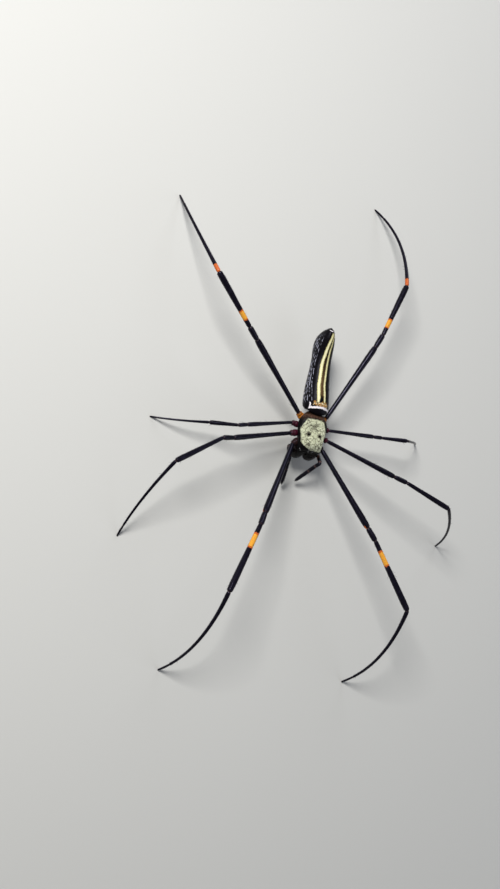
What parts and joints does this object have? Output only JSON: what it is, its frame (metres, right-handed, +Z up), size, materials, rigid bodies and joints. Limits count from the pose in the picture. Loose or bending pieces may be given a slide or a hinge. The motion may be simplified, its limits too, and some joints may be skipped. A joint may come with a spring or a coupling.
{
  "type": "golden silk orb weaver",
  "caption": "Life-size female golden silk orb weaver, a large long-legged spider standing with its legs spread, its long abdomen striped.",
  "frame": {"origin": "on the floor, under the middle of the span of the legs", "axes": "+Z up, the head towards -Y and the tip of the abdomen towards +Y, the spider's own left side towards +X"},
  "size_m": [0.1196, 0.1658, 0.0273],
  "materials": {
    "carapace_coat": "short pale greenish-yellow hair lying on a dark shell, with mottled creases",
    "black_shell": "glossy black shell",
    "leg_shell": "glossy black shell with a violet sheen, banded orange on some segments",
    "hip_skin": "satin shell, orange to dark reddish brown",
    "abdomen_skin": "satin black skin with pale yellow stripes, a white shoulder band and thin bluish lines",
    "eye_lens": "polished black lens"
  },
  "bodies": {
    "root": {"carapace": "carapace_coat", "sternum": "black_shell", "waist": "hip_skin", "abdomen": "abdomen_skin", "spinnerets": "black_shell", "jaw_right": "black_shell", "jaw_left": "black_shell", "fang_right": "black_shell", "fang_left": "black_shell", "feeler_right": "leg_shell", "feeler_left": "leg_shell", "eye_front_middle_right": "eye_lens", "eye_front_middle_left": "eye_lens", "eye_rear_middle_right": "eye_lens", "eye_rear_middle_left": "eye_lens", "eye_front_side_right": "eye_lens", "eye_front_side_left": "eye_lens", "eye_rear_side_right": "eye_lens", "eye_rear_side_left": "eye_lens", "leg_1_right_coxa": "hip_skin", "leg_1_right_femur": "leg_shell", "leg_1_right_patella": "leg_shell", "leg_1_right_tibia": "leg_shell", "leg_1_right_foot": "leg_shell", "leg_1_left_coxa": "hip_skin", "leg_1_left_femur": "leg_shell", "leg_1_left_patella": "leg_shell", "leg_1_left_tibia": "leg_shell", "leg_1_left_foot": "leg_shell", "leg_2_right_coxa": "hip_skin", "leg_2_right_femur": "leg_shell", "leg_2_right_patella": "leg_shell", "leg_2_right_tibia": "leg_shell", "leg_2_right_foot": "leg_shell", "leg_2_left_coxa": "hip_skin", "leg_2_left_femur": "leg_shell", "leg_2_left_patella": "leg_shell", "leg_2_left_tibia": "leg_shell", "leg_2_left_foot": "leg_shell", "leg_3_right_coxa": "hip_skin", "leg_3_right_femur": "leg_shell", "leg_3_right_patella": "leg_shell", "leg_3_right_tibia": "leg_shell", "leg_3_right_foot": "leg_shell", "leg_3_left_coxa": "hip_skin", "leg_3_left_femur": "leg_shell", "leg_3_left_patella": "leg_shell", "leg_3_left_tibia": "leg_shell", "leg_3_left_foot": "leg_shell", "leg_4_right_coxa": "hip_skin", "leg_4_right_femur": "leg_shell", "leg_4_right_patella": "leg_shell", "leg_4_right_tibia": "leg_shell", "leg_4_right_foot": "leg_shell", "leg_4_left_coxa": "hip_skin", "leg_4_left_femur": "leg_shell", "leg_4_left_patella": "leg_shell", "leg_4_left_tibia": "leg_shell", "leg_4_left_foot": "leg_shell"}
  },
  "joints": []
}
